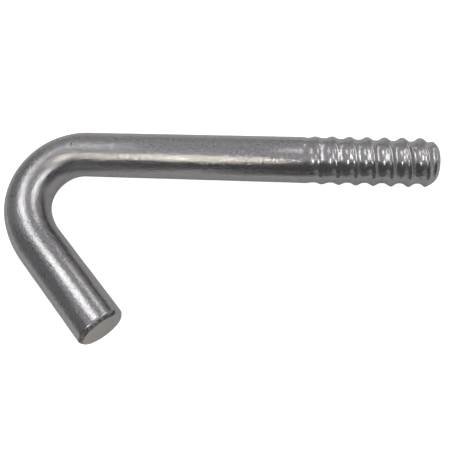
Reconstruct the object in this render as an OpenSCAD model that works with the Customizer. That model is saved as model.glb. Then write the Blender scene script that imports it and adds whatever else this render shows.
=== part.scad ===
// J-bolt: a round steel rod with a cold-bent hook at one end and a coarse
// coil thread rolled on the other.
//
// The origin is on the shank's axis, where the straight shank meets the bend.
// The shank runs along +X to the threaded tip, the hook turns towards -Y and
// its leg comes back beside the shank, and the whole rod lies flat in XY.

/* [Rod] */
// Diameter of the plain rod
rod_d = 11.6; // [8:0.1:16]
// Length from the back of the hook to the threaded tip
overall_l = 108; // [90:1:250]

/* [Hook] */
// Radius of the tight bend at the shank, to the rod's centre line
main_bend_r = 13.1; // [12:0.5:24]
// Angle turned by the tight bend
main_bend_angle = 114; // [60:1:125]
// Radius of the easier bend that runs into the leg
easing_bend_r = 21; // [14:0.5:40]
// Angle turned by the easier bend
easing_bend_angle = 21; // [5:1:30]
// Straight length of the leg after the bends
leg_l = 28; // [10:0.5:40]
// How far the outside of the bend is drawn in by bending the rod cold
draw_in = 0.5; // [0:0.05:1.2]
// How far the rounded edge runs back along the cut leg
cut_edge_l = 0.9; // [0.3:0.05:2]
// How far the rounded edge comes in from the leg's side
cut_edge_w = 0.7; // [0.3:0.05:2]

/* [Coil thread] */
// Distance from one turn of the thread to the next, six turns to the inch
thread_pitch = 4.233; // [3:0.001:6]
// Diameter over the ridges
crest_d = 12.1; // [8.6:0.1:18]
// Diameter at the bottom of the grooves
root_d = 10.2; // [6:0.1:13]
// Threaded length, the bevelled tip included
thread_l = 32.5; // [20:0.5:50]
// Share of the pitch that the rounded groove takes
groove_share = 0.85; // [0.5:0.05:1]
// Length of the bevel at the tip
tip_bevel_l = 3.4; // [1:0.1:6]
// Diameter of the flat face at the tip
tip_face_d = 6.6; // [3:0.1:8]
// Turn of the thread about its axis
thread_turn = 320; // [0:5:360]

/* [Hidden] */

zinc = [0.62, 0.62, 0.64];
rod_r = rod_d / 2;

// Facets: the plain shank, round each skin, and along the bends and edges
shank_facets = 96;
skin_facets = 40;
rings_per_pitch = 12;
main_bend_steps = 20;
easing_bend_steps = 4;
edge_steps = 6;

// Each skin is rooted in the shank: it starts this far inside it, this much
// thinner, and comes out just proud of the shank's own surface
root_l = 0.8;
root_w = 0.4;
proud = 0.01;
skin_r = rod_r / cos(180 / skin_facets) + proud;

// The grooves get deeper from the shank to the tip by this power of the length
deepening = 0.35;

// Straight plain shank, from the bend to the first turn of the thread
shank_l = overall_l - main_bend_r - rod_r + draw_in - thread_l;

// Lengths of the rod's centre line along the hook
main_bend_l = main_bend_r * main_bend_angle * PI / 180;
easing_bend_l = easing_bend_r * easing_bend_angle * PI / 180;
bends_l = main_bend_l + easing_bend_l;
hook_l = bends_l + leg_l;

// ---- Skins ----------------------------------------------------------------

// A closed skin over rings of points, each ring counted clockwise as seen
// when looking back along the rod
module skin(rings) {
    sides = len(rings[0]);
    last = (len(rings) - 1) * sides;
    walls = [
        for (k = [0 : len(rings) - 2], i = [0 : sides - 1])
            let (
                here = k * sides + i,
                next = k * sides + (i + 1) % sides
            )
            each [
                [here, next + sides, next],
                [here, here + sides, next + sides]
            ]
    ];
    caps = [
        [for (i = [0 : sides - 1]) i],
        [for (i = [sides - 1 : -1 : 0]) last + i]
    ];
    polyhedron(points = [for (one = rings) each one], faces = concat(walls, caps), convexity = 10);
}

// ---- Hook -----------------------------------------------------------------

// A point of the centre line, and its heading, after turning through an angle
// about a bend that starts at a place with a heading
function turned(from, radius, angle) = [
    from[0] + radius * (sin(from[2] + angle) - sin(from[2])),
    from[1] - radius * (cos(from[2] + angle) - cos(from[2])),
    from[2] + angle
];

bend_start = [0, 0, 180];
easing_start = turned(bend_start, main_bend_r, main_bend_angle);
leg_start = turned(easing_start, easing_bend_r, easing_bend_angle);

// The centre line's place and heading at a distance from the shank
function hook_place(along) =
    along < main_bend_l
        ? turned(bend_start, main_bend_r, along / main_bend_l * main_bend_angle)
        : along < bends_l
            ? turned(easing_start, easing_bend_r, (along - main_bend_l) / easing_bend_l * easing_bend_angle)
            : leg_start + (along - bends_l) * [cos(leg_start[2]), sin(leg_start[2]), 0];

// How far the outer wall is drawn in at a distance from the shank
function drawn_in(along) =
    along > 0 && along < bends_l ? draw_in * pow(sin(180 * along / bends_l), 0.75) : 0;

// The rod's section at a distance from the shank, thinner by an inset
function hook_ring(along, inset) =
    let (
        place = hook_place(along),
        radius = skin_r - inset,
        flat = drawn_in(along)
    )
    [
        for (i = [0 : skin_facets - 1])
            let (
                angle = 360 * i / skin_facets,
                out = (angle < 90 || angle > 270 ? radius - flat : radius) * cos(angle)
            )
            [
                place[0] + out * sin(place[2]),
                place[1] - out * cos(place[2]),
                -radius * sin(angle)
            ]
    ];

hook_stops = concat(
    [for (i = [0 : main_bend_steps - 1]) main_bend_l * i / main_bend_steps],
    [for (i = [0 : easing_bend_steps]) main_bend_l + easing_bend_l * i / easing_bend_steps]
);

// ---- Coil thread ----------------------------------------------------------

// 1 on the groove's floor and 0 on the ridge, turns of the helix apart
function groove(turn) =
    let (across = abs(turn - floor(turn) - 0.5) * 2 / groove_share)
    across < 1 ? pow(1 - across * across, 1.5) : 0;

// Radius of the bevelled tip at a distance from its end face
function bevel_radius(from_tip) =
    tip_face_d / 2 + (crest_d - tip_face_d) / 2 * pow(min(from_tip / tip_bevel_l, 1), 0.8);

// Radius of the ridges, which swell out of the shank over the first turn
function ridge_radius(along) =
    skin_r + (crest_d / 2 - skin_r) * min(along / thread_pitch, 1);

// Radius of the threaded end at a distance from its start and an angle
function thread_radius(along, angle) =
    let (
        turn = (along - thread_l) / thread_pitch - (angle + thread_turn) / 360,
        depth = (crest_d - root_d) / 2 * pow(along / thread_l, deepening)
    )
    min(ridge_radius(along) - depth * groove(turn), bevel_radius(thread_l - along));

function thread_ring(along) = [
    for (i = [0 : skin_facets - 1])
        let (
            angle = 360 * i / skin_facets,
            radius = thread_radius(along, angle)
        )
        [shank_l + along, radius * cos(angle), radius * sin(angle)]
];

ring_gap = thread_pitch / rings_per_pitch;
thread_stops = [
    for (i = [0 : floor(thread_l / ring_gap)]) i * ring_gap,
    if (thread_l % ring_gap > ring_gap / 10) thread_l
];

// ---- Sub-parts ------------------------------------------------------------

module shank() {
    color(zinc)
        rotate([0, 90, 0])
            cylinder(r = rod_r, h = shank_l, $fn = shank_facets);
}

// The two bends and the leg, with the sheared end's edge rolled over
module hook() {
    root_ring = [
        for (i = [0 : skin_facets - 1])
            let (angle = 360 * i / skin_facets)
            [root_l, (rod_r - root_w) * cos(angle), -(rod_r - root_w) * sin(angle)]
    ];
    edge_rings = [
        for (i = [0 : edge_steps])
            let (angle = 90 * i / edge_steps)
            hook_ring(hook_l - cut_edge_l * (1 - sin(angle)), cut_edge_w * (1 - cos(angle)))
    ];
    color(zinc)
        skin(concat([root_ring], [for (along = hook_stops) hook_ring(along, 0)], edge_rings));
}

// The rolled coil thread, from its run-out in the shank to its bevelled tip
module coil_thread() {
    root_ring = [
        for (i = [0 : skin_facets - 1])
            let (angle = 360 * i / skin_facets)
            [shank_l - root_l, (rod_r - root_w) * cos(angle), (rod_r - root_w) * sin(angle)]
    ];
    color(zinc)
        skin(concat([root_ring], [for (along = thread_stops) thread_ring(along)]));
}

module j_bolt() {
    shank();
    hook();
    coil_thread();
}

j_bolt();
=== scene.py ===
# %% [markdown]
# # A J-bolt in zinc-plated steel
#
# The imported model comes in first, as a frame. It has the bolt as one node, j_bolt, with its origin on the
# shank's axis where the straight shank meets the bend. The shank runs along +X to the threaded tip and the
# hook turns towards -Y. The bar's middle line lies in the XY plane, so the bolt lies flat, and the floor
# touches it from below.
#
# Its box is read straight away, and gives the tip's place and the floor's height.

# %% Load the frame
import math

import bmesh
import bpy
from mathutils import Matrix, Vector, noise


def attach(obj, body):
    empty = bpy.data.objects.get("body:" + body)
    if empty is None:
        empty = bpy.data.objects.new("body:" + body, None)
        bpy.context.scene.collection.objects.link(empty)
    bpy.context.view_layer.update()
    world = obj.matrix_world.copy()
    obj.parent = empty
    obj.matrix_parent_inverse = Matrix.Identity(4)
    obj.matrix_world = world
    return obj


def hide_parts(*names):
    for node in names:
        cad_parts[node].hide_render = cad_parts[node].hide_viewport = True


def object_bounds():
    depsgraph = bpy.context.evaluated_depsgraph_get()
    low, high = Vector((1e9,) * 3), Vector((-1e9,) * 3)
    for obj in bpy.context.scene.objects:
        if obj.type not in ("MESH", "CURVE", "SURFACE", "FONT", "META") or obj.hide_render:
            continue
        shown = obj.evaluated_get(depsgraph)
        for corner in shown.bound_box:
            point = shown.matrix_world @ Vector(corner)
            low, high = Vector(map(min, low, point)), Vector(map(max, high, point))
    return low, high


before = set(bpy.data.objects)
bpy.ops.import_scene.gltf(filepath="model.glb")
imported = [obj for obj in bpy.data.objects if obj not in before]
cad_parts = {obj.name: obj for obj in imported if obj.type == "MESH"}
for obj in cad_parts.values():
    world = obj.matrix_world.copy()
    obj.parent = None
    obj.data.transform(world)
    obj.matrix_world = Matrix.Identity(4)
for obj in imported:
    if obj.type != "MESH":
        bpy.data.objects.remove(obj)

MM = 0.001
cad_low, cad_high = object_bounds()
print("CAD box in mm:", [round(side / MM, 2) for side in (*cad_low, *cad_high)])

# %% [markdown]
# ## Sizes
#
# A J-bolt starts as a length of round bar. One end gets a coarse coil thread,
# pressed in between rollers rather than cut, and the other end is bent cold round
# a former, in one tight bend that eases off into a straight leg.
#
# The bar's sizes are the construction's own. The tip's place and the floor's
# height are read from the frame, so that both models end at the same planes.

# %% Name the bar's sizes
ROD_R = 5.8 * MM
MAIN_BEND_R = 13.1 * MM
MAIN_BEND_ANGLE = math.radians(114)
EASING_BEND_R = 21 * MM
EASING_BEND_ANGLE = math.radians(21)
LEG_L = 28 * MM
THREAD_L = 32.5 * MM

tip_x = cad_high.x
floor_z = cad_low.z
shank_l = tip_x - THREAD_L
main_bend_l = MAIN_BEND_R * MAIN_BEND_ANGLE
bends_l = main_bend_l + EASING_BEND_R * EASING_BEND_ANGLE
hook_l = bends_l + LEG_L
print("plain shank", round(shank_l / MM, 2), "mm, hook along its middle", round(hook_l / MM, 2), "mm")

# %% [markdown]
# ## The bar's middle line
#
# The hook's middle line is two arcs and a straight leg. It could be drawn as a
# curve, but every later step asks for a place at some distance along the bar, so
# it is written as a helper that gives the place and the way out from the bend.
# Distances grow from the bend into the hook, and are negative on the shank.

# %% Follow the middle line
def turned(start, radius, angle):
    """Place and heading after turning through an angle, from a place with a heading."""
    x, y, heading = start
    return (
        x + radius * (math.sin(heading + angle) - math.sin(heading)),
        y - radius * (math.cos(heading + angle) - math.cos(heading)),
        heading + angle,
    )


def way_of(heading):
    """The level way that a heading points along."""
    return Vector((math.cos(heading), math.sin(heading), 0))


bend_start = (0.0, 0.0, math.pi)
easing_start = turned(bend_start, MAIN_BEND_R, MAIN_BEND_ANGLE)
leg_start = turned(easing_start, EASING_BEND_R, EASING_BEND_ANGLE)
easing_foot = Vector((*easing_start[:2], 0))
leg_foot = Vector((*leg_start[:2], 0))
easing_way = way_of(easing_start[2])
leg_way = way_of(leg_start[2])
main_centre = Vector((0, -MAIN_BEND_R, 0))
easing_centre = easing_foot + EASING_BEND_R * Vector((-easing_way.y, easing_way.x, 0))


def middle(along):
    """Place of the middle line, and the way out from the bend, at a distance along the bar."""
    if along < 0:
        x, y, heading = -along, 0.0, math.pi
    elif along < main_bend_l:
        x, y, heading = turned(bend_start, MAIN_BEND_R, along / MAIN_BEND_R)
    elif along < bends_l:
        x, y, heading = turned(easing_start, EASING_BEND_R, (along - main_bend_l) / EASING_BEND_R)
    else:
        x, y, heading = leg_start
        x += (along - bends_l) * leg_way.x
        y += (along - bends_l) * leg_way.y
    return Vector((x, y, 0)), Vector((math.sin(heading), -math.cos(heading), 0))


print("leg ends at", [round(side / MM, 1) for side in middle(hook_l)[0]], "mm")

# %% [markdown]
# ## A vertex's place on the bar
#
# Shaping a bent bar is easier when each vertex knows where it was on the straight
# one. This helper turns the middle line round: from a vertex it works out the
# distance along the bar, the angle round it and the distance from its middle.
# Angles are counted from the outside of the bend, upwards.

# %% Find a vertex on the bar
FULL_TURN = 2 * math.pi


def swept_angle(spoke, start_heading):
    """Angle that a spoke from a bend's centre has swept since the bar's heading there."""
    return (math.atan2(spoke.y, spoke.x) - start_heading + math.pi / 2) % FULL_TURN


def distance_along(point):
    """Distance along the bar of the section that a vertex lies in."""
    if point.x >= 0 and point.y > -MAIN_BEND_R / 2:
        return -point.x
    swept = swept_angle(point - main_centre, bend_start[2])
    if swept <= MAIN_BEND_ANGLE:
        return swept * MAIN_BEND_R
    swept = swept_angle(point - easing_centre, easing_start[2])
    if swept < EASING_BEND_ANGLE:
        return main_bend_l + swept * EASING_BEND_R
    return bends_l + (point - leg_foot).dot(leg_way)


def place_on_bar(point):
    """Distance along the bar, angle round it and distance from its middle, for a vertex."""
    along = distance_along(point)
    centre, outward = middle(along)
    across = (point - centre).dot(outward)
    return along, math.atan2(point.z, across), math.hypot(across, point.z)


print("the leg's foot is", round(place_on_bar(leg_foot)[0] / MM, 2), "mm along the bar")

# %% [markdown]
# ## Picking rings of edges
#
# The bar is made in edit mode, length after length, and each new length starts
# from the open ring at the end of the last one. Edit-mode tools act on whatever
# is selected, so one helper picks a ring by its place: the edges that lie in the
# plane square to the bar there. A second helper cuts a freshly extruded length
# into short steps, which gives later steps vertices to move. By hand that would
# be a loop cut, but a loop cut needs a window, and subdividing the ring of long
# edges doesn't.

# %% Make the ring helpers
REACH = 0.02 * MM
NEAR_THE_BAR = 2 * ROD_R
ON_THE_SKIN = 1.1 * ROD_R


def select_ring(piece, centre, way):
    """Selects only the edges near a place that lie in the plane through it, square to a way."""
    mesh = bmesh.from_edit_mesh(piece.data)
    bpy.ops.mesh.select_all(action="DESELECT")
    for edge in mesh.edges:
        ends = [vertex.co - centre for vertex in edge.verts]
        near = all(end.length < NEAR_THE_BAR for end in ends)
        if near and all(abs(end.dot(way)) < REACH for end in ends):
            edge.select_set(True)
    mesh.select_flush_mode()
    bmesh.update_edit_mesh(piece.data)


def cut_lengthwise(piece, start, way, length, cuts):
    """Cuts the long edges of a freshly extruded length into equal steps."""
    mesh = bmesh.from_edit_mesh(piece.data)
    bpy.ops.mesh.select_all(action="DESELECT")
    for edge in mesh.edges:
        if abs(edge.calc_length() - length) > REACH:
            continue
        mid = (edge.verts[0].co + edge.verts[1].co) / 2 - start
        aside = mid - way * mid.dot(way)
        if abs(mid.dot(way) - length / 2) < REACH and aside.length < ON_THE_SKIN:
            edge.select_set(True)
    bmesh.update_edit_mesh(piece.data)
    bpy.ops.mesh.subdivide_edgering(number_cuts=cuts, interpolation="LINEAR", smoothness=0)


print("an edge counts as in a ring's plane within", REACH / MM, "mm")

# %% [markdown]
# ## The straight bar
#
# The real bolt is cropped from a long round bar. Here it starts as a circle round
# the X axis, which is extruded twice: once for the plain shank, and once for the
# blank of the thread. They are two lengths because the thread needs finer steps
# than the plain shank. A cylinder would do as well, but from a circle every
# length of the bar is made in the same way, out of the open ring before it.
#
# The CAD node comes in selected, so everything is deselected first.

# %% Extrude the shank and the thread's blank
SIDES = 128
SHANK_STEP = 0.3 * MM
THREAD_PITCH = 4.233 * MM
STEPS_PER_PITCH = 30

bpy.ops.object.select_all(action="DESELECT")
bpy.ops.mesh.primitive_circle_add(vertices=SIDES, radius=ROD_R, rotation=(0, math.pi / 2, 0))
bolt = bpy.context.object
bolt.name = "plated_j_bolt"
bolt.data.name = "plated_j_bolt"
bpy.ops.object.transform_apply(location=True, rotation=True, scale=True)

shank_start = Vector((0, 0, 0))
thread_start = Vector((shank_l, 0, 0))
thread_step = THREAD_PITCH / STEPS_PER_PITCH
along_x = Vector((1, 0, 0))
bpy.ops.object.mode_set(mode="EDIT")
bpy.ops.mesh.select_mode(type="EDGE")
bpy.ops.mesh.select_all(action="SELECT")
bpy.ops.mesh.extrude_edges_move(TRANSFORM_OT_translate={"value": (shank_l, 0, 0)})
bpy.ops.mesh.extrude_edges_move(TRANSFORM_OT_translate={"value": (THREAD_L, 0, 0)})
cut_lengthwise(bolt, shank_start, along_x, shank_l, round(shank_l / SHANK_STEP))
cut_lengthwise(bolt, thread_start, along_x, THREAD_L, round(THREAD_L / thread_step))
print("vertices in the straight bar:", len(bmesh.from_edit_mesh(bolt.data).verts))

# %% [markdown]
# ## The two bends and the leg
#
# A bender swings the bar's end round a former. The tight bend follows the former,
# and the bar then eases off in a wider bend before it runs straight. A bend
# modifier would be one way, but its ends are hard to steer. Spin does what the
# former does: it swings the last ring of edges round a centre and leaves a skin
# behind it. The leg is extruded from the last ring, and stops short of its end by
# the length of the rounded edge.

# %% Spin the two bends and extrude the leg
CUT_EDGE_L = 1.0 * MM

straight_leg_l = LEG_L - CUT_EDGE_L
for centre, way, pivot, angle, length in (
    (shank_start, along_x, main_centre, MAIN_BEND_ANGLE, main_bend_l),
    (easing_foot, easing_way, easing_centre, EASING_BEND_ANGLE, bends_l - main_bend_l),
):
    select_ring(bolt, centre, way)
    bpy.ops.mesh.spin(steps=round(length / SHANK_STEP), angle=-angle, center=pivot, axis=(0, 0, 1))

select_ring(bolt, leg_foot, leg_way)
bpy.ops.mesh.extrude_edges_move(TRANSFORM_OT_translate={"value": leg_way * straight_leg_l})
cut_lengthwise(bolt, leg_foot, leg_way, straight_leg_l, round(straight_leg_l / SHANK_STEP))
turned_by = round(math.degrees(MAIN_BEND_ANGLE + EASING_BEND_ANGLE))
print("the leg comes back at", 180 - turned_by, "degrees to the shank")

# %% [markdown]
# ## The cropped edge
#
# The leg was cropped in a shear, which rolls the bar's edge over before it tears.
# A bevel would round the edge evenly, but a sheared one drops slowly at first and
# then fast. Short extrusions that shrink a little each time draw that profile.

# %% Roll the cropped edge over
CUT_EDGE_W = 0.75 * MM
EDGE_STEPS = 8
DROP_SHAPE = 1.6


def rolled_forward(roll):
    """How far along the leg the rolled edge has come, at an angle from 0 to a quarter turn."""
    return CUT_EDGE_L * math.sin(roll) ** DROP_SHAPE


select_ring(bolt, leg_foot + leg_way * straight_leg_l, leg_way)
edge_r = ROD_R
forward = 0.0
for step in range(1, EDGE_STEPS + 1):
    roll = math.pi / 2 * step / EDGE_STEPS
    shrunk_r = ROD_R - CUT_EDGE_W * (1 - abs(math.cos(roll)) ** DROP_SHAPE)
    move = leg_way * (rolled_forward(roll) - forward)
    forward = rolled_forward(roll)
    bpy.ops.mesh.extrude_edges_move(TRANSFORM_OT_translate={"value": move})
    ring_centre = middle(hook_l - CUT_EDGE_L + forward)[0]
    bpy.ops.transform.resize(value=(shrunk_r / edge_r,) * 3, center_override=ring_centre)
    edge_r = shrunk_r
print("the cropped face is", round(2 * edge_r / MM, 2), "mm across")

# %% [markdown]
# ## The two faces
#
# One flat face would close each end, but a cropped face is never quite flat. So
# each face is filled, inset in rings and closed to a point in its middle, which
# gives it vertices to move later. Then vertices that share a place are merged,
# and the faces are turned outwards, because spin can leave a skin inside out.

# %% Close both faces
FACE_RINGS = 14
SAME_PLACE = 0.001 * MM


def close_face(piece, centre, way, radius):
    """Fills the open ring at a place with rings of faces that meet in its middle."""
    select_ring(piece, centre, way)
    bpy.ops.mesh.edge_face_add()
    bpy.ops.mesh.select_mode(type="FACE")
    for _ in range(FACE_RINGS):
        bpy.ops.mesh.inset(thickness=radius / (FACE_RINGS + 1), depth=0)
    bpy.ops.mesh.poke()
    bpy.ops.mesh.select_mode(type="EDGE")


close_face(bolt, middle(hook_l)[0], leg_way, edge_r)
close_face(bolt, Vector((tip_x, 0, 0)), along_x, ROD_R)
bpy.ops.mesh.select_all(action="SELECT")
bpy.ops.mesh.remove_doubles(threshold=SAME_PLACE)
bpy.ops.mesh.normals_make_consistent(inside=False)
bpy.ops.object.mode_set(mode="OBJECT")
print("bar with both ends:", len(bolt.data.vertices), "vertices,", len(bolt.data.polygons), "faces")

# %% [markdown]
# ## The rolled thread
#
# A coil thread has rounded ridges and wide hollow grooves, and no sharp edge
# anywhere, because rollers squeeze the metal up instead of cutting it away. No
# modelling tool here makes a groove that gets shallower along its run, so this
# form is made in another way: each vertex moves straight out or in from the
# bar's middle, by a formula that follows the helix.
#
# One turn of the helix is a right-hand thread: going round by a full circle, the
# ridge moves one pitch along. The groove is a smooth hollow that gets shallower
# towards the shank and runs out there. The tip has a blunt, rounded nose, and
# where it is lower than the thread it cuts across it.

# %% Work out the threaded end's radius
CREST_R = 6.03 * MM
THREAD_TURN = math.radians(320)
GROOVE_DEPTH = 0.95 * MM
GROOVE_SHARE = 0.95
HOLLOW_WIDTH = 2.6
HOLLOW_SOFTNESS = 2.0
RUN_OUT = 0.4
TIP_BEVEL_L = 2.8 * MM
TIP_FACE_R = 2.8 * MM
NOSE_SHAPE = 0.4


def thread_radius(along_thread, angle):
    """Radius of the threaded end, and how far a point there is sunk in the groove, from 0 to 1."""
    turns = (along_thread - THREAD_L) / THREAD_PITCH - (angle + THREAD_TURN) / FULL_TURN
    across = abs(turns - math.floor(turns) - 0.5) * 2 / GROOVE_SHARE
    hollow = (1 - across ** HOLLOW_WIDTH) ** HOLLOW_SOFTNESS if across < 1 else 0
    depth = GROOVE_DEPTH * (along_thread / THREAD_L) ** RUN_OUT
    swell = min(along_thread / THREAD_PITCH, 1)
    ridge = ROD_R + (CREST_R - ROD_R) * swell
    from_tip = THREAD_L - along_thread
    nose = TIP_FACE_R + (CREST_R - TIP_FACE_R) * min(from_tip / TIP_BEVEL_L, 1) ** NOSE_SHAPE
    return min(ridge - depth * hollow, nose), hollow * depth / GROOVE_DEPTH


print("thread:", round(2 * CREST_R / MM, 2), "mm wide,", round(THREAD_L / THREAD_PITCH, 1), "turns")

# %% [markdown]
# ## Bending, rolling and small damage
#
# A real bar is never quite true. The cold bend draws in the outside of the curve,
# so the section isn't round there. Rolling and tumbling leave the surface very
# slightly uneven. The rolling mill leaves a fine seam, which shows on the inside
# where the leg begins. And bolts knock against each other, which leaves nicks.
#
# Sculpting would do for these, but a few small formulas are easier to place and
# to change. Each one gives how far the surface moves in or out at a spot that is
# named by its distance along the bar and its angle.

# %% Work out the small moves
DRAW_IN = 0.5 * MM
DRAW_IN_SPREAD = 0.75
UNEVEN = 0.022 * MM
SOFT_WAVES = 0.22 / MM
FINE_WAVES = 0.9 / MM
FINE_SHARE = 0.4
SEAM_FROM = (34.5 * MM, math.radians(131))
SEAM_TO = (47 * MM, math.radians(165))
SEAM_HALF_W = 0.22 * MM
SEAM_DEPTH = 0.035 * MM
SEAM_FADE = 8
NICK_REACH = 3
NICKS = (
    # along, angle in degrees, half length, half width, depth
    (-7.9 * MM, 191, 1.3 * MM, 0.5 * MM, 0.22 * MM),
    (40.2 * MM, 179, 0.45 * MM, 0.4 * MM, 0.16 * MM),
    (-15.6 * MM, 100, 0.8 * MM, 0.35 * MM, 0.05 * MM),
    (56.7 * MM, 82, 0.35 * MM, 0.35 * MM, 0.07 * MM),
    (-82.6 * MM, 82, 0.5 * MM, 0.7 * MM, 0.3 * MM),
    (-78.6 * MM, 185, 0.4 * MM, 0.5 * MM, 0.15 * MM),
)


def drawn_in(along, angle):
    """How far the bend has drawn in its outer wall."""
    flat = DRAW_IN * math.sin(math.pi * along / bends_l) ** DRAW_IN_SPREAD
    return flat * max(math.cos(angle), 0) ** 2


def unevenness(bar_place):
    """Height of the slightly uneven surface: soft waves with finer ones on them."""
    soft = noise.noise(bar_place * SOFT_WAVES)
    fine = noise.noise(bar_place * FINE_WAVES)
    return UNEVEN * (soft + FINE_SHARE * fine)


def seam_depth(along, angle):
    """Depth of the fine seam, which fades at both its ends."""
    share = (along - SEAM_FROM[0]) / (SEAM_TO[0] - SEAM_FROM[0])
    if not 0 < share < 1:
        return 0.0
    side = (angle - SEAM_FROM[1] - share * (SEAM_TO[1] - SEAM_FROM[1])) * ROD_R / SEAM_HALF_W
    return SEAM_DEPTH * math.exp(-side * side) * min(1, SEAM_FADE * share, SEAM_FADE * (1 - share))


def nick_depth(along, angle):
    """Depth of the nicks, each one a smooth dent."""
    depth = 0.0
    for nick_along, nick_angle, half_l, half_w, deep in NICKS:
        down = (along - nick_along) / half_l
        if abs(down) > NICK_REACH:
            continue
        turn = (angle - math.radians(nick_angle) + math.pi) % FULL_TURN - math.pi
        side = turn * ROD_R / half_w
        depth += deep * math.exp(-down * down - side * side)
    return depth


print("nicks:", len(NICKS), "- the deepest", round(max(nick[-1] for nick in NICKS) / MM, 2), "mm")

# %% [markdown]
# ## Where each vertex goes
#
# All these moves act on the same vertices, so one pass makes them all. The same pass gives the finish what
# it needs. It keeps where each point was on the bar before it was bent, so that a pattern can follow the
# bend. It also keeps three shares from 0 to 1: how deep a point lies in the groove, how much it is on the
# rolled edge, and whether it is on one of the two cropped faces. The rolled edge counts only on the leg's
# upper outer side, where its share also puts a painted shade.

# %% Shape a vertex
# These put the rolled edge's painted shade on the leg's upper outer side.
EDGE_MIDDLE = math.radians(45)
EDGE_END = math.cos(math.radians(88))
EDGE_FADE_ROUND = 3
EDGE_FADE_ALONG = 4
TORN_DEPTH = 0.05 * MM
TORN_LUMPS = 0.6 / MM
TORN_SPREAD = 4


def on_rolled_edge(along, angle):
    """How much a point near the leg's end is on the part of its rolled edge that is dull and carries a
    painted shade.
    """
    round_share = (math.cos(angle - EDGE_MIDDLE) - EDGE_END) / (1 - EDGE_END)
    along_share = (along - hook_l + CUT_EDGE_L) / CUT_EDGE_L
    return min(max(EDGE_FADE_ROUND * round_share, 0), 1) * min(EDGE_FADE_ALONG * along_share, 1)


def shaped(point):
    """New place of a vertex, its place on the straight bar, and its three shares."""
    along, angle, radius = place_on_bar(point)
    centre, outward = middle(along)
    full = radius / ROD_R
    in_groove, rolled, torn, sunk = 0.0, 0.0, 0.0, 0.0
    if along < -shank_l:
        threaded_r, in_groove = thread_radius(min(-along - shank_l, THREAD_L), angle)
        radius = threaded_r * full
        torn = 1.0 if -along > tip_x - REACH else 0.0
    elif 0 < along < bends_l:
        radius -= drawn_in(along, angle)
    elif along > hook_l - CUT_EDGE_L:
        torn = 1.0 if along > hook_l - REACH else 0.0
        rolled = on_rolled_edge(along, angle) * (1 - torn)
    bar_place = Vector((along, math.cos(angle) * radius, math.sin(angle) * radius))
    moved = unevenness(bar_place) - nick_depth(along, angle) - seam_depth(along, angle)
    radius += moved * full
    if abs(along - hook_l) < REACH:
        sunk = TORN_DEPTH * noise.noise(bar_place * TORN_LUMPS) * (1 - full ** TORN_SPREAD)
    across = outward * math.cos(angle) * radius
    up = Vector((0, 0, math.sin(angle) * radius))
    return centre + across + up + leg_way * sunk, bar_place, (in_groove, rolled, torn)


outer = shaped(easing_foot + middle(main_bend_l)[1] * ROD_R)[0]
print("outside of the bend is", round((outer - easing_foot).length / MM, 2), "mm from its middle line")

# %% [markdown]
# ## Shaping the bolt
#
# What is kept for the finish is stored as attributes, which are values at the
# points of a mesh that a material can read by name. The bar is then shaded
# smooth, apart from the sharp rims of its two faces.

# %% Move every vertex and store what the finish reads
SHARP_ANGLE = math.radians(40)
SHARES = ("groove_depth", "rolled_edge", "cut_face")

mesh = bolt.data
mesh.attributes.new("bar_place", "FLOAT_VECTOR", "POINT")
for name in SHARES:
    mesh.attributes.new(name, "FLOAT", "POINT")
bar_places = mesh.attributes["bar_place"].data
share_lists = [mesh.attributes[name].data for name in SHARES]
for vertex in mesh.vertices:
    vertex.co, bar_places[vertex.index].vector, shares = shaped(vertex.co)
    for share_list, share in zip(share_lists, shares):
        share_list[vertex.index].value = share
mesh.update()

bpy.ops.object.select_all(action="DESELECT")
bolt.select_set(True)
bpy.context.view_layer.objects.active = bolt
bpy.ops.object.shade_smooth_by_angle(angle=SHARP_ANGLE)
print("bolt:", sum(len(face.vertices) - 2 for face in mesh.polygons), "triangles")

# %% [markdown]
# ## Bright zinc plating
#
# Zinc goes on in a thin bright layer that copies the steel under it. It is grey
# with a trace of violet, smooth enough to mirror lamps as bright streaks, and
# grainy enough to break those streaks up. So the finish is one metal, and what
# varies over it is worked out by nodes from noise and from the stored attributes.
#
# A few helpers keep the nodes short. Most of them add one node, feed it numbers,
# colours or other nodes' outputs, and give back what comes out of it.

# %% Make the node helpers
def node(tree, kind, **settings):
    """Adds a node. A setting is a value for an input, or else for the node itself."""
    made = tree.nodes.new(kind)
    for name, value in settings.items():
        if name in made.inputs:
            made.inputs[name].default_value = value
        else:
            setattr(made, name, value)
    return made


def feed(tree, value, socket):
    """Gives a socket a number or a colour, or the output of another node."""
    if isinstance(value, bpy.types.NodeSocket):
        tree.links.new(value, socket)
    else:
        socket.default_value = value


def reckon(tree, operation, *values):
    """Works out one value from numbers and other nodes' outputs."""
    made = node(tree, "ShaderNodeMath", operation=operation)
    for value, socket in zip(values, made.inputs):
        feed(tree, value, socket)
    return made.outputs[0]


def between(tree, value, low_high, new_low_high):
    """Turns a value that runs over one range into another range, and stops at its ends."""
    made = node(tree, "ShaderNodeMapRange")
    ends = ("From Min", "From Max", "To Min", "To Max")
    for end, number in zip(ends, (*low_high, *new_low_high)):
        made.inputs[end].default_value = number
    tree.links.new(value, made.inputs["Value"])
    return made.outputs["Result"]


def blend(tree, share, first, second):
    """A colour that goes from a first one to a second one as a share goes from 0 to 1."""
    made = node(tree, "ShaderNodeMix", data_type="RGBA")
    for name, value in (("Factor", share), ("A", first), ("B", second)):
        feed(tree, value, made.inputs[name])
    return made.outputs["Result"]


def stored(tree, name, output="Fac"):
    """What the shaping stored at each point of the bolt under a name."""
    return node(tree, "ShaderNodeAttribute", attribute_name=name).outputs[output]


def material_and_shader(name):
    """A new material, and the shader that it comes with."""
    material = bpy.data.materials.new(name)
    material.use_nodes = True
    return material, material.node_tree.nodes["Principled BSDF"]


print("the finish can read:", "bar_place,", ", ".join(SHARES))

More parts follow.
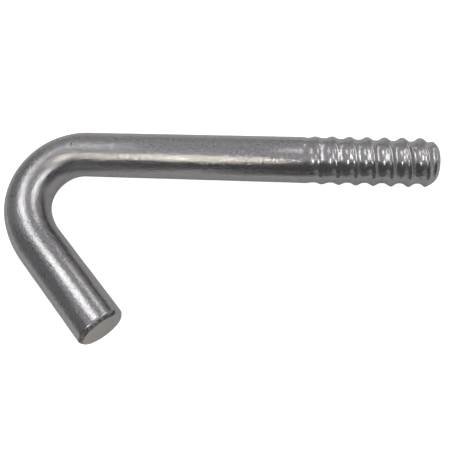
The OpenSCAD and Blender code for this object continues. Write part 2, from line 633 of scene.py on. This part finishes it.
# %% [markdown]
# ## Roughness of the plating
#
# The plating is fairly smooth, and a little duller in soft patches of about two
# millimetres. The thread is a touch duller all over, which spreads its streaks,
# and the cropped faces and the rolled edge are dull, because tearing leaves a
# rough surface. One even roughness would be simpler, but then every streak would
# have the same hard edge all along.

# %% Set how rough the plating is
MOTTLE_SPREAD = (0.3, 0.7)
PLATING_ROUGHNESS = (0.14, 0.24)
THREAD_FADE = (-60 * MM, -52 * MM)
THREAD_ROUGHER = (0.04, 0.0)
TORN_ROUGHER = 0.3


def plating_roughness(tree, mottle, bar_along, cut, edge):
    patchy = between(tree, mottle, MOTTLE_SPREAD, PLATING_ROUGHNESS)
    on_thread = between(tree, bar_along, THREAD_FADE, THREAD_ROUGHER)
    dulled = reckon(tree, "ADD", patchy, on_thread)
    torn = reckon(tree, "MAXIMUM", cut, edge)
    return reckon(tree, "MULTIPLY_ADD", torn, TORN_ROUGHER, dulled)


print("roughness on the shank:", PLATING_ROUGHNESS[0], "to", PLATING_ROUGHNESS[1])

# %% [markdown]
# ## Colour of the plating
#
# Four layers go over one another: the zinc's own fine grain, a painted shade on the rolled edge that specks
# break up, the cropped faces made brighter as a painted reflection of the pale sheet, and last the grime.
# Grime is a spread of small dark specks, and more of them lie in the grooves of the thread as a painted
# shade in its hollows. Each layer is a blend over the one before, which keeps them easy to change one by
# one.

# %% Set the plating's colour
GRAIN_SPREAD = (0.3, 0.7)
GRAIN_SHADE = (0.308, 0.305, 0.322, 1)
GRAIN_LIGHT = (0.432, 0.424, 0.41, 1)
# The edge colour is a painted shade: a dark band on the rolled edge, broken by specks.
EDGE_PAINTED_SHADE = (0.12, 0.117, 0.114, 1)
EDGE_SPECKS = (0.35, 0.6)
EDGE_COVER = (0.3, 1.0)
# The cropped faces' colour is lighter as a painted reflection of the pale sheet beside them.
CUT_PAINTED_REFLECTION = (0.47, 0.46, 0.44, 1)
# Grime colour: dark specks of dirt, and, with more of them in the grooves, a painted shade in the thread's
# hollows.
GRIME_AND_SHADE_COLOUR = (0.10, 0.095, 0.095, 1)
GROOVE_PAINTED_SHADE = 0.04
GRIME_AND_SHADE_RANGE = (0.65, 0.77)
GRIME_AND_SHADE_COVER = (0.0, 0.8)
WHOLE = (0.0, 1.0)


def plating_colour(tree, grain, specks, groove, cut, edge):
    zinc = blend(tree, between(tree, grain, GRAIN_SPREAD, WHOLE), GRAIN_SHADE, GRAIN_LIGHT)
    # Painted shade on the rolled edge, broken by specks where the zinc's own colour shows.
    edge_shade_share = reckon(tree, "MULTIPLY", edge, between(tree, specks, EDGE_SPECKS, EDGE_COVER))
    rolled = blend(tree, edge_shade_share, zinc, EDGE_PAINTED_SHADE)
    # Painted reflection of the pale sheet on the cropped faces.
    cut_with_painted_reflection = blend(tree, cut, rolled, CUT_PAINTED_REFLECTION)
    # More dark specks in the grooves: a painted shade in the thread's hollows.
    specks_and_groove_shade = reckon(tree, "MULTIPLY_ADD", groove, GROOVE_PAINTED_SHADE, specks)
    return blend(tree, between(tree, specks_and_groove_shade, GRIME_AND_SHADE_RANGE, GRIME_AND_SHADE_COVER), cut_with_painted_reflection, GRIME_AND_SHADE_COLOUR)


print("brightness of the grain:", GRAIN_SHADE[1], "to", GRAIN_LIGHT[1], "and of the grime:", GRIME_AND_SHADE_COLOUR[1])

# %% [markdown]
# ## Bump of the plating
#
# The grain is too fine to model, under half a millimetre across, so it is a bump:
# the shader tilts the surface without moving it. A soft bump for the patches lies
# under a fine one for the grain. The grain is strongest on the shank. Rollers have
# pressed most of it flat on the thread, and the leg is smoother too.

# %% Set the plating's bump
BUMP_HEIGHT = 0.1 * MM
PATCH_BUMP = 0.35
GRAIN_TO_THREAD = (-56 * MM, -44 * MM)
GRAIN_TO_LEG = (5 * MM, 35 * MM)
SMOOTHED = 0.45


def plating_normal(tree, grain, mottle, bar_along):
    off_thread = between(tree, bar_along, GRAIN_TO_THREAD, (SMOOTHED, 1.0))
    off_leg = between(tree, bar_along, GRAIN_TO_LEG, (1.0, SMOOTHED))
    strength = reckon(tree, "MULTIPLY", off_thread, off_leg)
    soft_bump = node(tree, "ShaderNodeBump", Strength=PATCH_BUMP, Distance=BUMP_HEIGHT)
    fine_bump = node(tree, "ShaderNodeBump", Distance=BUMP_HEIGHT)
    tree.links.new(mottle, soft_bump.inputs["Height"])
    tree.links.new(grain, fine_bump.inputs["Height"])
    tree.links.new(strength, fine_bump.inputs["Strength"])
    tree.links.new(soft_bump.outputs["Normal"], fine_bump.inputs["Normal"])
    return fine_bump.outputs["Normal"]


print("grain bump:", BUMP_HEIGHT / MM, "mm high on the shank,", SMOOTHED, "of that on the thread")

# %% [markdown]
# ## Plating the bolt
#
# The three parts share the same noises, so that a dull patch is also a soft rise
# and a bright grain a raised one. The noises could read the place in space, but
# they read the place on the straight bar, because the steel had its grain before
# it was bent. So the grain opens a little on the outside of the bend and closes
# up on the inside.

# %% Plate the bolt
SPECULAR_TINT = (0.85, 0.85, 0.85, 1)


def zinc_plating():
    material, shader = material_and_shader("zinc plating")
    tree = material.node_tree
    bar_place = stored(tree, "bar_place", "Vector")
    groove, edge, cut = (stored(tree, name) for name in SHARES)
    noises = (
        node(tree, "ShaderNodeTexNoise", Scale=2300, Detail=2, Roughness=0.6),
        node(tree, "ShaderNodeTexNoise", Scale=420, Detail=4, Roughness=0.55),
        node(tree, "ShaderNodeTexNoise", Scale=1500, Detail=2),
    )
    for texture in noises:
        tree.links.new(bar_place, texture.inputs["Vector"])
    grain, mottle, specks = (texture.outputs["Fac"] for texture in noises)
    apart = node(tree, "ShaderNodeSeparateXYZ")
    tree.links.new(bar_place, apart.inputs["Vector"])
    bar_along = apart.outputs["X"]

    shader.inputs["Metallic"].default_value = 1.0
    shader.inputs["Specular Tint"].default_value = SPECULAR_TINT
    for name, value in (
        ("Base Color", plating_colour(tree, grain, specks, groove, cut, edge)),
        ("Roughness", plating_roughness(tree, mottle, bar_along, cut, edge)),
        ("Normal", plating_normal(tree, grain, mottle, bar_along)),
    ):
        tree.links.new(value, shader.inputs[name])
    return material


mesh.materials.append(zinc_plating())
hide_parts("j_bolt")
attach(bolt, "root")
print("finish:", mesh.materials[0].name)

# %% [markdown]
# ## Floor
#
# The bolt lies on a plain white sheet. Lighting a sheet until it is pure white
# would also burn out the metal. So the sheet is lit softly and adds a glow of its
# own: towards the camera enough to show white, with the bolt's shadow still on
# it, and in the metal's reflections only a little.

# %% Lay the white sheet
SHEET_SIZE = 4.0
SHEET_COLOUR = (0.50, 0.492, 0.475, 1)
WHITE = (1, 1, 1, 1)
GLOW_TO_CAMERA = 0.95
GLOW_IN_METAL = 0.17


def white_sheet():
    material, shader = material_and_shader("white sheet")
    tree = material.node_tree
    shader.inputs["Base Color"].default_value = SHEET_COLOUR
    shader.inputs["Roughness"].default_value = 1.0
    shader.inputs["Specular IOR Level"].default_value = 0.0
    shader.inputs["Emission Color"].default_value = WHITE
    rays = node(tree, "ShaderNodeLightPath").outputs
    mirrored = reckon(tree, "MAXIMUM", rays["Is Glossy Ray"], rays["Is Transmission Ray"])
    in_metal = reckon(tree, "MULTIPLY", mirrored, GLOW_IN_METAL)
    glow = reckon(tree, "MULTIPLY_ADD", rays["Is Camera Ray"], GLOW_TO_CAMERA, in_metal)
    tree.links.new(glow, shader.inputs["Emission Strength"])
    return material


bpy.ops.object.select_all(action="DESELECT")
bpy.ops.mesh.primitive_plane_add(size=SHEET_SIZE, location=(0, 0, floor_z))
sheet = bpy.context.object
sheet.name = "sheet"
sheet.data.materials.append(white_sheet())
print("sheet at", round(floor_z / MM, 2), "mm")

# %% [markdown]
# ## Lamps
#
# Metal shows its surroundings more than itself, so the streaks on the bar are the
# lamps' own shapes. Oblong area lamps are used, because an area lamp has a size
# that a mirror can show, and a point lamp hasn't. Each one is placed by its
# compass direction and its height above the horizon, as seen from the bolt, and
# sized by the degrees that it takes up from there. The strip is hung as five
# lamps in a row, so that each stretch can have its own brightness.

# %% Hang the lamps
AIM = Vector((20, -12, 0)) * MM
LAMP_DISTANCE = 1.0
NEAR_LAMP_DISTANCE = 0.4
WARM_LIGHT = (1.0, 0.93, 0.78)
WHITE_LIGHT = (1.0, 1.0, 1.0)


def towards(azimuth, elevation):
    """The way from the bolt to a compass direction and a height above the horizon, in degrees."""
    around, up = math.radians(azimuth), math.radians(elevation)
    return Vector((math.cos(around) * math.cos(up), math.sin(around) * math.cos(up), math.sin(up)))


def facing(aim, way, distance, turn=0):
    """Stands at a distance from a point and faces it, with its long side level unless turned."""
    faced = way.to_track_quat("Z", "Y").to_matrix().to_4x4()
    return Matrix.Translation(aim + way * distance) @ faced @ Matrix.Rotation(math.radians(turn), 4, "Z")


def spans(wide, tall, distance):
    """Width and height of what takes up these degrees at a distance."""
    return [2 * distance * math.tan(math.radians(degrees / 2)) for degrees in (wide, tall)]


def lamp(name, azimuth, elevation, wide, tall, glow, colour=WHITE_LIGHT, turn=0, distance=LAMP_DISTANCE):
    """An oblong lamp. Its glow is how bright its face looks, whatever its size and distance."""
    long, short = spans(wide, tall, distance)
    light = bpy.data.lights.new(name, "AREA")
    light.shape = "RECTANGLE"
    light.size = long
    light.size_y = short
    light.color = colour
    light.energy = glow * math.pi * long * short
    made = bpy.data.objects.new(name, light)
    made.matrix_world = facing(AIM, towards(azimuth, elevation), distance, turn)
    made.visible_camera = False
    bpy.context.scene.collection.objects.link(made)


lamp("warm lamp", 247, 57.5, 9, 7.5, 21.0, WARM_LIGHT, turn=-12)
lamp("left end of the strip", 302, 45, 18, 8, 3.0)
lamp("middle of the strip", 330, 45, 26, 8, 4.4)
lamp("right end of the strip", 2, 43, 26, 8, 4.4)
lamp("strip round the corner", 32, 36, 26, 8, 4.0)
lamp("end of the strip", 60, 27, 22, 8, 2.2)
lamp("lamp above", 113, 66, 25, 22, 2.4, distance=NEAR_LAMP_DISTANCE)
lamp("window on the left", 170, 38, 44, 8, 6.5, turn=20)

# %% [markdown]
# ## Flags and cards
#
# Whoever lights metal in a studio keeps unwanted reflections away with flags and cards, which are dark or
# grey boards that the metal sees in place of the room. The same is done here: each one is a plane that gives
# off an even grey and is seen only in reflections. A far one takes away a patch of the room for the whole
# bolt, and a close one works only on the stretch beside it. Some also cast a shadow, because otherwise a
# lamp behind them would still show in the metal. The dark card that lies on the sheet is painted shade: it
# darkens the floor seen in the metal beside the bolt, as if that floor lay in shade.

# %% Stand the flags and cards
FAR = 0.8
CLOSE = 0.05
BLACK = (0, 0, 0, 1)
DARK = (0.12, 0.12, 0.125)
# Painted shade for the sheet beside the bolt, seen only in reflections.
PAINTED_SHADE_ON_SHEET = (0.12, 0.12, 0.12)
DIM_GREY = (0.25, 0.25, 0.26)
MID_GREY = (0.36, 0.36, 0.375)
PALE_GREY = (0.55, 0.54, 0.56)


def card(name, place, long, short, shade, shadow):
    """A flat card of an even grey that only the metal sees. Its place is a matrix."""
    material, shader = material_and_shader(name)
    shader.inputs["Base Color"].default_value = BLACK
    shader.inputs["Specular IOR Level"].default_value = 0.0
    shader.inputs["Roughness"].default_value = 1.0
    shader.inputs["Emission Color"].default_value = (*shade, 1)
    shader.inputs["Emission Strength"].default_value = 1.0
    bpy.ops.object.select_all(action="DESELECT")
    bpy.ops.mesh.primitive_plane_add(size=1)
    made = bpy.context.object
    made.name = name
    made.matrix_world = place @ Matrix.Diagonal((long, short, 1, 1))
    made.data.materials.append(material)
    made.visible_camera = False
    made.visible_diffuse = False
    made.visible_shadow = shadow


def flag(name, azimuth, elevation, wide, tall, distance, shade, aim=AIM, shadow=False):
    """A card that stands in a direction from a point. Its width and height are in degrees."""
    place = facing(aim, towards(azimuth, elevation), distance)
    card(name, place, *spans(wide, tall, distance), shade, shadow)


def level_card(name, centre, long, short, shade, shadow=False):
    """A card that lies level, with its centre and its sides in millimetres."""
    card(name, Matrix.Translation(Vector(centre) * MM), long * MM, short * MM, shade, shadow)


by_the_thread = Vector((75, 0, 0)) * MM
by_the_bend = Vector((-6, -18, 0)) * MM
by_the_leg = Vector((3, -34, 0)) * MM
flag("dark flag in front of the thread", 306, 13, 54, 54, FAR, DARK)
flag("dark flag in front of the hook", 244, 18, 74, 56, FAR, DARK)
flag("dark flag close to the thread", 292, 36, 84, 52, CLOSE, DARK, by_the_thread, shadow=True)
flag("grey card beside the bend", 157, 30, 56, 44, CLOSE, MID_GREY, by_the_bend, shadow=True)
flag("dark card beside the leg", 194, 38, 52, 46, CLOSE, DIM_GREY, by_the_leg, shadow=True)
level_card("grey card over the shank", (21, 23, 60), 53, 30, PALE_GREY, shadow=True)
# A painted shade on the sheet in front of the bolt: a dark card that only the metal sees, where the floor
# would lie in shade.
level_card("painted shade card on the sheet", (119, -126, -5.9), 180, 200, PAINTED_SHADE_ON_SHEET)

# %% [markdown]
# ## Room
#
# A dim grey room fills the rest of what the metal sees. A plain grey world would
# do, but then the bar's top and sides would be equally bright. So the room is a
# little brighter overhead than at the horizon, as under a pale ceiling.

# %% Fill the room
ROOM_COLOUR = (0.60, 0.59, 0.62, 1)
ROOM_HEIGHTS = (0.1, 0.7)
ROOM_STRENGTH = (0.7, 1.0)

room = bpy.data.worlds.new("grey room")
bpy.context.scene.world = room
room.use_nodes = True
room_tree = room.node_tree
room_light = room_tree.nodes["Background"]
room_light.inputs["Color"].default_value = ROOM_COLOUR
sky = node(room_tree, "ShaderNodeTexCoord")
heights = node(room_tree, "ShaderNodeSeparateXYZ")
room_tree.links.new(sky.outputs["Generated"], heights.inputs["Vector"])
brightness = between(room_tree, heights.outputs["Z"], ROOM_HEIGHTS, ROOM_STRENGTH)
room_tree.links.new(brightness, room_light.inputs["Strength"])
print("room:", ROOM_STRENGTH[0], "at the horizon to", ROOM_STRENGTH[1], "overhead")

# %% [markdown]
# ## Camera
#
# The camera looks down on the bolt from close by, a little from the hook's side.
# From so near, the parts closer to it look thicker, which a camera farther off
# with a longer lens wouldn't show. The shift moves the frame without turning the
# camera, so that the bolt lies high in the render and keeps its perspective.

# %% Place the camera
CAMERA_PLACE = Vector((56.75, -53.70, 115.45)) * MM
CAMERA_TURN = [math.radians(degrees) for degrees in (19.806, 5.372, 4.063)]
SENSOR_WIDTH = 36
LENS_LENGTH = 38.46
SHIFT_SIDEWAYS = -0.0211
SHIFT_UP = -0.0601
NEAREST = 5 * MM

lens = bpy.data.cameras.new("camera")
lens.sensor_width = SENSOR_WIDTH
lens.lens = LENS_LENGTH
lens.shift_x = SHIFT_SIDEWAYS
lens.shift_y = SHIFT_UP
lens.clip_start = NEAREST
camera = bpy.data.objects.new("camera", lens)
camera.location = CAMERA_PLACE
camera.rotation_euler = CAMERA_TURN
bpy.context.scene.collection.objects.link(camera)
bpy.context.scene.camera = camera
bpy.context.scene.view_settings.view_transform = "Standard"
print("camera:", round(camera.location.z / MM), "mm above the bar's middle")
